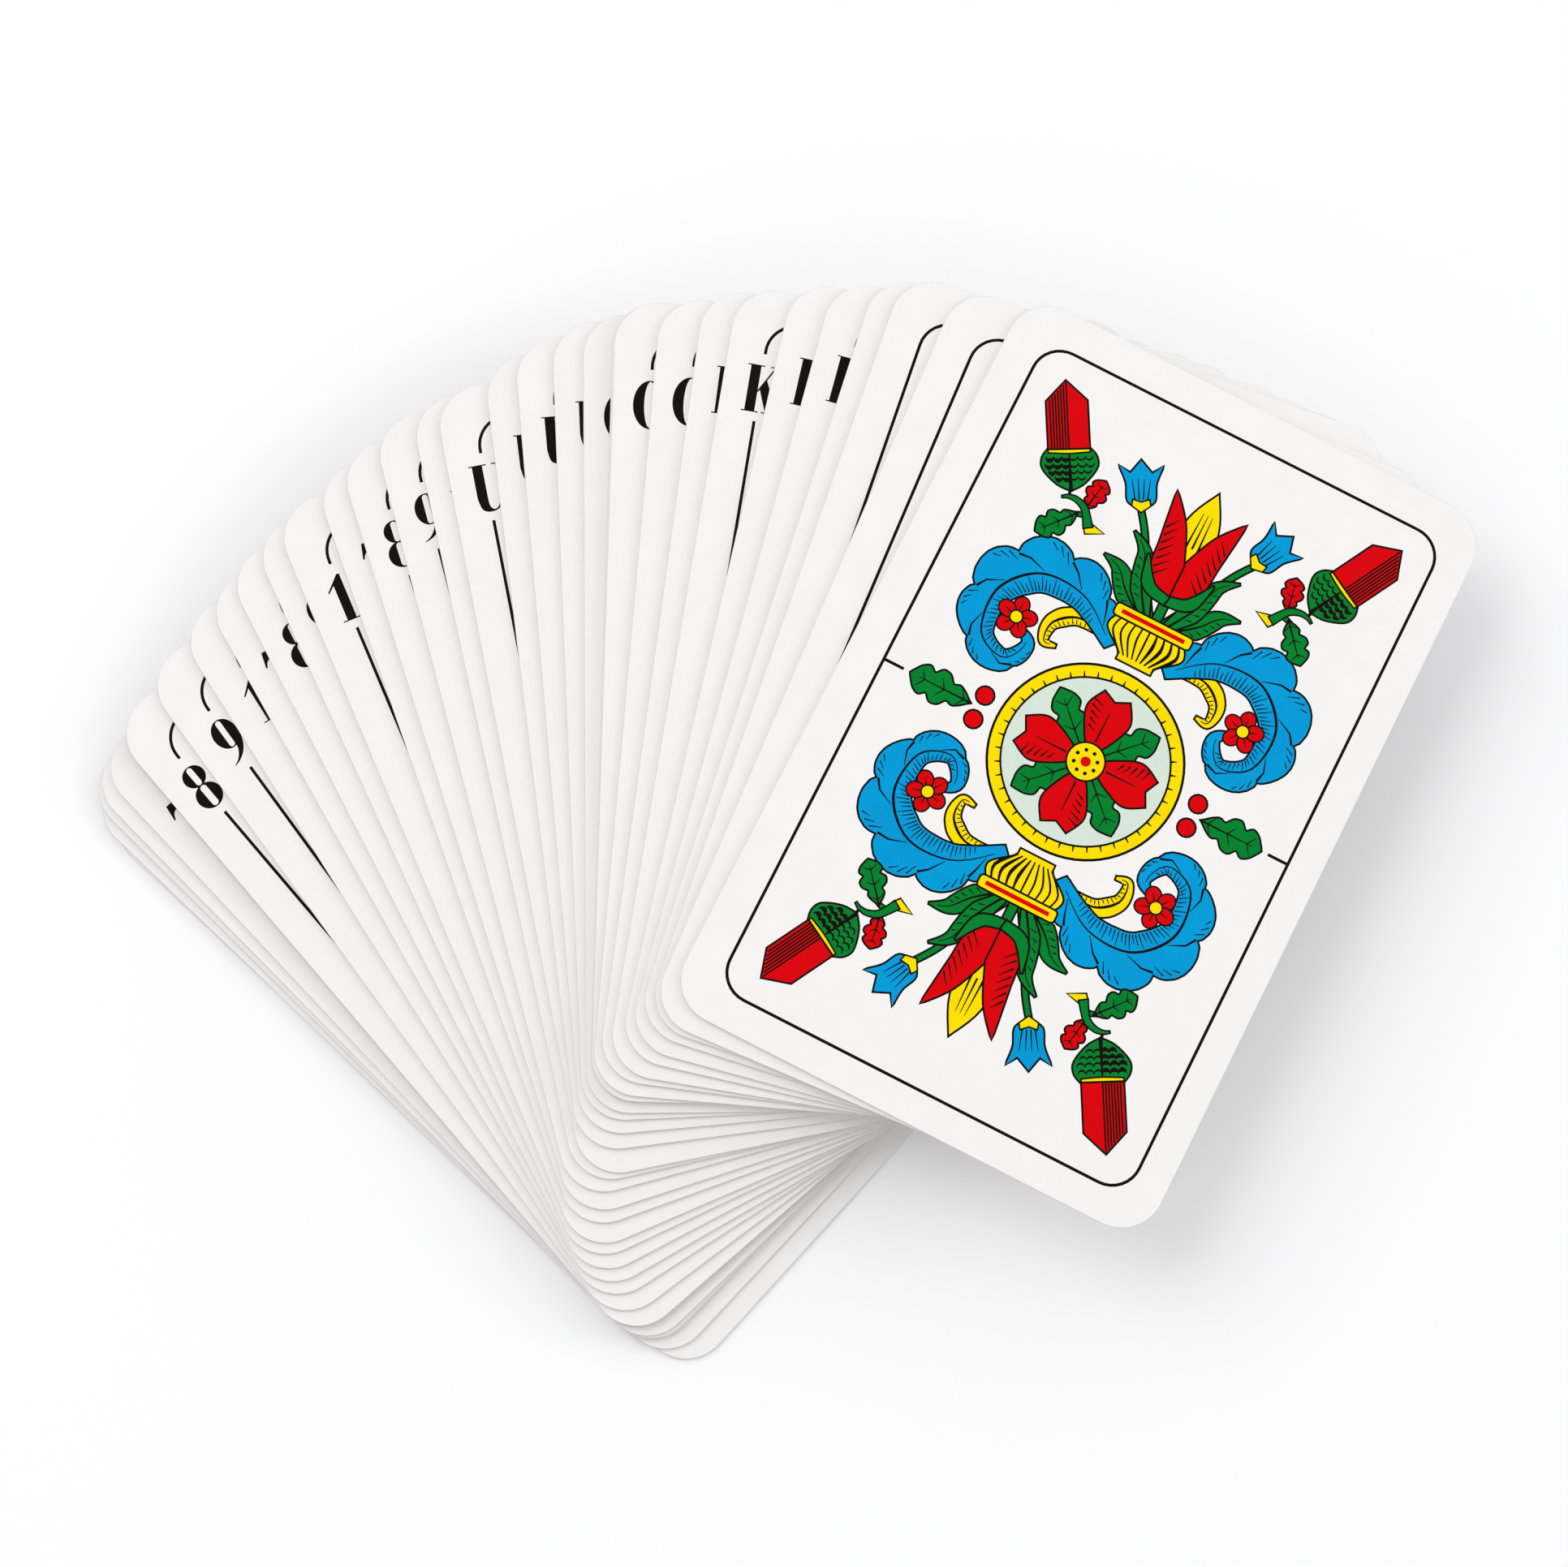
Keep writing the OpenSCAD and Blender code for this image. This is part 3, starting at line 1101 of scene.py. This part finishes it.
@dataclass(frozen=True)
class PrintFinish:
    """Board or ink under one coat of satin varnish."""

    name: str
    tone: Colour
    cloud_tone: Colour
    roughness: float = 0.42
    gloss_spread: float = 0.08
    cloud_scale: float = 260.0
    fibre_scale: float = 2600.0
    bump: float = 0.04
    bump_depth: float = 0.02 * MM
    reflection: float = 0.04

    def material(self, grain: bpy.types.NodeTree) -> bpy.types.Material:
        """Makes the material.

        Args:
            grain: The shared grain group.

        Returns:
            The finished material.
        """
        material = bpy.data.materials.new(self.name)
        material.use_nodes = True
        board = NodeBoard(material.node_tree)
        shader = material.node_tree.nodes["Principled BSDF"]
        tone, cloud_tone = self.tones(board)
        grained = board.add(
            "ShaderNodeGroup", {"node_tree": grain}, Tone=tone, Cloud_Tone=cloud_tone,
            Cloud_Scale=self.cloud_scale, Fibre_Scale=self.fibre_scale,
            Roughness=self.roughness, Gloss_Spread=self.gloss_spread,
        ).outputs
        raised = board.add(
            "ShaderNodeBump", Height=grained["Height"], Strength=self.bump, Distance=self.bump_depth
        ).outputs[0]
        for socket, result in (
            ("Base Color", grained["Colour"]), ("Roughness", grained["Roughness"]), ("Normal", raised),
        ):
            material.node_tree.links.new(result, shader.inputs[socket])
        shader.inputs["Specular IOR Level"].default_value = self.reflection
        return material

    def tones(self, board: NodeBoard) -> tuple[Any, Any]:
        """Gives the two tones that the grain mixes."""
        return (*self.tone, 1.0), (*self.cloud_tone, 1.0)


@dataclass(frozen=True)
class BackFinish(PrintFinish):
    """The lattice print of a card's back on its white board."""

    ink: Colour = (0.02, 0.10, 0.34)
    ink_cloud: Colour = (0.03, 0.13, 0.40)
    pitch: float = 4.0
    card_width: float = 59.0
    card_length: float = 91.0
    border: float = 4.2

    def tones(self, board: NodeBoard) -> tuple[Any, Any]:
        """Mixes ink into the board's two tones where the lattice is printed."""
        flat = board.add("ShaderNodeUVMap", {"uv_map": CardBlank.FLAT_MAP}).outputs[0]
        centred = board.vector("SUBTRACT", flat, (0.5, 0.5, 0.0))
        place = board.vector("MULTIPLY", centred, (self.card_width, self.card_length, 0.0))
        mask = board.add(
            "ShaderNodeGroup", {"node_tree": back_lattice()}, Place=place, Pitch=self.pitch,
            Half_Width=self.card_width / 2 - self.border, Half_Length=self.card_length / 2 - self.border,
        ).outputs["Ink"]
        tone, cloud_tone = super().tones(board)
        return board.mix(mask, tone, (*self.ink, 1.0)), board.mix(mask, cloud_tone, (*self.ink_cloud, 1.0))


PAPER_TONE: Colour = (0.82, 0.81, 0.793)
PAPER_CLOUD: Colour = (0.805, 0.795, 0.778)

FINISHES: dict[Ink, PrintFinish] = {
    Ink.PAPER: PrintFinish("board_white", PAPER_TONE, PAPER_CLOUD),
    Ink.BLACK: PrintFinish("ink_black", (0.006, 0.004, 0.003), (0.009, 0.006, 0.005), 0.4),
    Ink.RED: PrintFinish("ink_red", (0.65, 0.001, 0.003), (0.61, 0.001, 0.004), 0.4),
    Ink.GREEN: PrintFinish("ink_green", (0.001, 0.21, 0.028), (0.001, 0.185, 0.024), 0.4),
    Ink.BLUE: PrintFinish("ink_blue", (0.001, 0.31, 0.63), (0.001, 0.275, 0.585), 0.4),
    Ink.YELLOW: PrintFinish("ink_yellow", (0.88, 0.68, 0.001), (0.84, 0.64, 0.001), 0.4),
    Ink.PALE: PrintFinish("ink_pale_green", (0.62, 0.715, 0.62), (0.59, 0.69, 0.59), 0.42),
    Ink.BACK: BackFinish("back_print", PAPER_TONE, PAPER_CLOUD),
    # The cut edge's grain is real, but its tone is painted shade: darker than the white board, so its lit
    # bevel stays dull and thin shadow lines show along the steps between cards
    Ink.EDGE: PrintFinish(
        "board_cut_painted_shade", (0.62, 0.61, 0.59), (0.56, 0.55, 0.53), roughness=0.7, gloss_spread=0.1,
        cloud_scale=900.0, fibre_scale=6000.0, bump=0.2,
    ),
}


# Cards


@dataclass
class CardBlank:
    """The die-cut plate that every card starts from: its sizes in metres, its middle at the origin."""

    width: float
    length: float
    thickness: float
    corner: float
    rim: float = 0.05 * MM
    corner_steps: int = 14
    rim_steps: int = 2
    rim_profile: float = 0.6

    FLAT_MAP = "card_flat"
    LEVEL = 0.99
    ROUND = 0.5

    @classmethod
    def from_node(cls, node: bpy.types.Object) -> "CardBlank":
        """Reads the plate's sizes off the solid of a card that lies straight in the frame.

        Args:
            node: The solid of the bottom card.

        Returns:
            A blank of the same size.
        """
        low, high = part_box(node.name)
        span = high - low
        head = [vertex.co.x for vertex in node.data.vertices if high.y - vertex.co.y < NO_LENGTH]
        return cls(span.x, span.y, span.z, min(head) - low.x)

    def build(self) -> bpy.types.Object:
        """Models the plate.

        Returns:
            The blank, lying on the ground plane.
        """
        bpy.ops.object.select_all(action="DESELECT")
        bpy.ops.mesh.primitive_plane_add(size=1.0)
        blank = bpy.context.active_object
        blank.name = "card_blank"
        blank.scale = (self.width, self.length, 1.0)
        bpy.ops.object.transform_apply(location=False, rotation=False, scale=True)
        bpy.ops.object.mode_set(mode="EDIT")
        bpy.ops.mesh.select_mode(type="VERT")
        bpy.ops.mesh.select_all(action="SELECT")
        bpy.ops.mesh.bevel(
            offset=self.corner, segments=self.corner_steps, profile=self.ROUND, affect="VERTICES"
        )
        bpy.ops.mesh.select_all(action="SELECT")
        bpy.ops.mesh.extrude_region_move(TRANSFORM_OT_translate={"value": (0.0, 0.0, self.thickness)})
        bpy.ops.mesh.select_all(action="SELECT")
        bpy.ops.mesh.normals_make_consistent(inside=False)
        self.soften(blank)
        bpy.ops.object.mode_set(mode="OBJECT")
        self.name_faces(blank.data)
        return blank

    def soften(self, blank: bpy.types.Object) -> None:
        """Rounds the cut edges of both faces a little, in edit mode."""
        bpy.ops.mesh.select_mode(type="EDGE")
        bpy.ops.mesh.select_all(action="DESELECT")
        bpy.ops.object.mode_set(mode="OBJECT")
        for edge in blank.data.edges:
            ends = [blank.data.vertices[index].co for index in edge.vertices]
            edge.select = abs(ends[0].z - ends[1].z) < NO_LENGTH
        bpy.ops.object.mode_set(mode="EDIT")
        bpy.ops.mesh.bevel(
            offset=self.rim, segments=self.rim_steps, profile=self.rim_profile, affect="EDGES"
        )

    def name_faces(self, mesh: bpy.types.Mesh) -> None:
        """Gives the face and the back their finishes, and the cut edge a finish painted darker than the
        board as painted shade.
        """
        for face in mesh.polygons:
            if abs(face.normal.z) > self.LEVEL:
                ink = Ink.PAPER if face.normal.z > 0 else Ink.BACK
            else:
                ink = Ink.EDGE
            face.material_index = ink.value


@dataclass
class PlayingCard:
    """One card: its print, its mesh and its place in the fan."""

    node: str
    suit: Suit
    rank: Rank
    place: Matrix

    @classmethod
    def from_node(cls, node: str, place: Matrix) -> "PlayingCard":
        """Reads suit and rank off a card's name."""
        rank, suit = node.split("_of_")
        return cls(node, Suit(suit), Rank(rank), place)

    def build(
        self, blank: bpy.types.Object, sizes: CardBlank, finishes: list[bpy.types.Material]
    ) -> bpy.types.Object:
        """Copies the blank, prints it and lays it in its place.

        Args:
            blank: The plate to copy.
            sizes: The plate's sizes.
            finishes: The materials, in the order of Ink.

        Returns:
            The finished card.
        """
        card = blank.copy()
        card.data = blank.data.copy()
        card.name = card.data.name = self.node + "_card"
        bpy.context.scene.collection.objects.link(card)
        patches = CardFace(self.suit, self.rank, sizes.width / 2 / MM, sizes.length / 2 / MM).draw()
        self.print_face(card.data, patches)
        self.map_flat(card.data, sizes)
        for material in finishes:
            card.data.materials.append(material)
        card.data.transform(self.place)
        card.data.update()
        return card

    def print_face(self, mesh: bpy.types.Mesh, patches: list[Patch]) -> None:
        """Divides the upper face along the outlines of the print.

        Args:
            mesh: The card's mesh, still lying straight at the origin.
            patches: The patches of ink, the uppermost last.
        """
        work = bmesh.new()
        work.from_mesh(mesh)
        top = max(work.faces, key=lambda face: face.normal.z * face.calc_area())
        rim = [loop.vert for loop in top.loops]
        height = rim[0].co.z
        edge = [(vert.co.x / MM, vert.co.y / MM) for vert in rim]
        points, faces, first = divide([edge, *(patch.outline for patch in patches)])
        verts = {first[number]: vert for number, vert in enumerate(rim)}
        for number, (x, y) in enumerate(points):
            if number not in verts:
                verts[number] = work.verts.new((x * MM, y * MM, height))
        inks = ink_of(points, faces, patches)
        bmesh.ops.delete(work, geom=[top], context="FACES_ONLY")
        for corners, ink in zip(faces, inks):
            work.faces.new([verts[corner] for corner in corners]).material_index = int(ink)
        work.to_mesh(mesh)
        work.free()

    def map_flat(self, mesh: bpy.types.Mesh, sizes: CardBlank) -> None:
        """Adds the flat map of the card, from its lower left corner to its upper right one."""
        layer = mesh.uv_layers.new(name=CardBlank.FLAT_MAP)
        places = np.empty(len(mesh.vertices) * 3)
        mesh.vertices.foreach_get("co", places)
        flat = places.reshape(-1, 3)[:, :2] / (sizes.width, sizes.length) + 0.5
        corners = np.empty(len(mesh.loops), dtype=np.int64)
        mesh.loops.foreach_get("vertex_index", corners)
        layer.data.foreach_set("uv", flat[corners].ravel())


def divide(outlines: list[Line]) -> tuple[np.ndarray, np.ndarray, dict[int, int]]:
    """Divides the first outline along all the others.

    Args:
        outlines: Closed outlines in mm; the first one holds the rest.

    Returns:
        The points, the triangles between them, and which point each point of the first outline became.
    """
    points: list[Vector] = []
    edges: list[tuple[int, int]] = []
    for outline in outlines:
        start, count = len(points), len(outline)
        points += [Vector(point) for point in outline]
        edges += [(start + number, start + (number + 1) % count) for number in range(count)]
    triangles_inside = 1
    found, _, faces, sources, _, _ = delaunay_2d_cdt(points, edges, [], triangles_inside, MERGE_MM)
    became = {source: number for number, given in enumerate(sources) for source in given}
    first = {source: became[source] for source in range(len(outlines[0]))}
    return np.array([tuple(point) for point in found]), np.array(faces), first


def ink_of(points: np.ndarray, faces: np.ndarray, patches: list[Patch]) -> np.ndarray:
    """Finds the uppermost ink on each triangle of a divided face.

    Args:
        points: The points of the face.
        faces: Its triangles.
        patches: The patches of ink, the uppermost last.

    Returns:
        The material slot of each triangle.
    """
    middle = points[faces].mean(axis=1)
    inks = np.full(len(faces), Ink.PAPER.value)
    for patch in patches:
        outline = np.array(patch.outline)
        near = np.all((middle >= outline.min(0)) & (middle <= outline.max(0)), axis=1).nonzero()[0]
        x, y = middle[near, 0:1], middle[near, 1:2]
        x0, y0 = outline.T
        x1, y1 = np.roll(outline, -1, axis=0).T
        left = (x1 - x0) * (y - y0) - (x - x0) * (y1 - y0)
        rising = (y0 <= y) & (y1 > y) & (left > 0)
        falling = (y0 > y) & (y1 <= y) & (left < 0)
        inside = rising.sum(axis=1) != falling.sum(axis=1)
        inks[near[inside]] = patch.ink.value
    return inks


@dataclass
class Fan:
    """The whole pack, lowest card first, with each card's turn read off the joints."""

    frame: dict[str, Any]
    slot: str = "card_board"

    def places(self) -> dict[str, Matrix]:
        """Works out where each card lies from its hinge, which would close the fan to a square pack.

        Returns:
            The place of each card by its node's name, the lowest first.
        """
        behaviour = self.frame["record"]["behaviour"]
        ratios = {coupling["joint"]: coupling["ratio"] for coupling in behaviour.get("couplings", [])}
        leader = next(joint for joint in self.frame["joints"] if joint["name"] not in ratios)
        whole_turn = -math.radians(leader["range_deg"][0])
        hinges = {joint["child"]: joint for joint in self.frame["joints"]}
        places: dict[str, Matrix] = {}
        for body, nodes in sorted(behaviour["bodies"].items(), key=lambda item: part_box(item[1][0])[0].z):
            height = Matrix.Translation((0.0, 0.0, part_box(nodes[0])[0].z))
            turned = Matrix.Identity(4)
            if body in hinges:
                pole = Matrix.Translation(hinges[body]["pos_m"])
                angle = whole_turn * ratios.get(hinges[body]["name"], 1.0)
                turned = pole @ Matrix.Rotation(angle, 4, hinges[body]["axis"]) @ pole.inverted()
            places[nodes[0]] = turned @ height
        return places

    def build(self) -> None:
        """Builds every card and lets it ride on its body."""
        grain = board_grain()
        finishes = [FINISHES[ink].material(grain) for ink in Ink]
        places = self.places()
        sizes = CardBlank.from_node(self.frame["nodes"][next(iter(places))])
        blank = sizes.build()
        for node, place in places.items():
            card = PlayingCard.from_node(node, place).build(blank, sizes, finishes)
            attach(card, self.frame["nodes"][node]["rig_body"])
            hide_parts(node)
            LOG.info("%s: %d faces", card.name, len(card.data.polygons))
        bpy.data.objects.remove(blank)


# Studio


@dataclass(frozen=True)
class SoftBox:
    """A square soft box that faces the fan, with its size and distance in metres and its power in watts.

    Its heading goes anticlockwise from the picture's right and its height is over the table, in degrees.
    """

    name: str
    heading: float
    height: float
    size: float
    watts: float
    away: float = 2.0
    tint: Colour = (1.0, 1.0, 0.99)


SOFT_BOXES: tuple[SoftBox, ...] = (
    SoftBox("left_box", heading=140.0, height=40.0, size=1.4, watts=16.0),
    SoftBox("right_box", heading=8.0, height=15.0, size=0.8, watts=12.0),
)


@dataclass
class Studio:
    """A white table, a soft light tent and the camera over the fan."""

    target: tuple[float, float, float] = (27.07 * MM, -7.92 * MM, 0.0)
    distance: float = 400.0 * MM
    azimuth: float = -68.8
    elevation: float = 81.69
    up_heading: float = 42.67
    focal_px: float = 4306.0
    sensor: float = 36.0
    near_clip: float = 0.01
    table: float = 3.0
    table_drop: float = 0.03 * MM
    table_tone: Colour = (0.885, 0.885, 0.89)
    table_roughness: float = 0.6
    glow_tone: Colour = (0.99, 0.99, 1.0)
    side_glow: float = 1.78
    top_glow: float = 0.38
    glow_heading: float = 90.0
    glow_lean: float = 0.2

    def build(self) -> None:
        """Builds table, light and camera."""
        self.build_table()
        self.build_light()
        self.build_camera()

    def build_table(self) -> None:
        """Lays the plain table top under the fan."""
        bpy.ops.object.select_all(action="DESELECT")
        x, y, _ = self.target
        bpy.ops.mesh.primitive_plane_add(size=self.table, location=(x, y, -self.table_drop))
        table = bpy.context.active_object
        table.name = "table_top"
        material = bpy.data.materials.new("table_white")
        material.use_nodes = True
        shader = material.node_tree.nodes["Principled BSDF"]
        shader.inputs["Base Color"].default_value = (*self.table_tone, 1.0)
        shader.inputs["Roughness"].default_value = self.table_roughness
        table.data.materials.append(material)

    def outward(self, heading: float, height: float) -> Vector:
        """Gives a direction from the fan by its heading from the picture's right and its height."""
        turn, rise = math.radians(heading + self.up_heading - 90), math.radians(height)
        return Vector((math.cos(turn) * math.cos(rise), math.sin(turn) * math.cos(rise), math.sin(rise)))

    def add_lamp(self, soft_box: SoftBox) -> None:
        """Hangs one soft box."""
        out = self.outward(soft_box.heading, soft_box.height)
        bpy.ops.object.light_add(type="AREA", location=Vector(self.target) + out * soft_box.away)
        lamp = bpy.context.active_object
        lamp.name = soft_box.name
        lamp.rotation_euler = out.to_track_quat("Z", "Y").to_euler()
        lamp.data.shape = "SQUARE"
        lamp.data.size = soft_box.size
        lamp.data.energy = soft_box.watts
        lamp.data.color = soft_box.tint

    def build_light(self) -> None:
        """Sets the tent's own glow and its soft boxes."""
        world = bpy.data.worlds.new("light_tent")
        bpy.context.scene.world = world
        world.use_nodes = True
        board = NodeBoard(world.node_tree)
        glow = world.node_tree.nodes["Background"]
        glow.inputs["Color"].default_value = (*self.glow_tone, 1.0)
        direction = board.add("ShaderNodeTexCoord").outputs["Generated"]
        rise = board.add("ShaderNodeSeparateXYZ", Vector=direction).outputs["Z"]
        level = board.add(
            "ShaderNodeMapRange", Value=rise, To_Min=self.side_glow, To_Max=self.top_glow
        ).outputs[0]
        towards = self.outward(self.glow_heading, 0.0) * self.glow_lean
        lean = board.vector("DOT_PRODUCT", direction, towards, "Value")
        strength = board.math("MULTIPLY", level, board.math("ADD", lean, 1.0))
        world.node_tree.links.new(strength, glow.inputs["Strength"])
        for soft_box in SOFT_BOXES:
            self.add_lamp(soft_box)
        bpy.context.scene.view_settings.view_transform = "Standard"

    def build_camera(self) -> None:
        """Sets the camera where the photograph was taken from."""
        turn, rise = math.radians(self.azimuth), math.radians(self.elevation)
        back = Vector((math.sin(turn) * math.cos(rise), -math.cos(turn) * math.cos(rise), math.sin(rise)))
        heading = math.radians(self.up_heading)
        upward = Vector((math.cos(heading), math.sin(heading), 0.0))
        right = upward.cross(back).normalized()
        axes = Matrix((right, back.cross(right), back)).transposed()
        place = Vector(self.target) + back * self.distance
        bpy.ops.object.camera_add(location=place, rotation=axes.to_euler())
        camera = bpy.context.active_object
        camera.name = "photo_camera"
        camera.data.sensor_width = self.sensor
        camera.data.lens = self.focal_px * self.sensor / PHOTO_WIDTH_PX
        camera.data.clip_start = self.near_clip
        bpy.context.scene.camera = camera


def main() -> None:
    """Builds the fan of cards and the studio round it."""
    logging.basicConfig(level=logging.INFO)
    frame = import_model()
    Fan(frame).build()
    Studio().build()


if __name__ == "__main__":
    main()
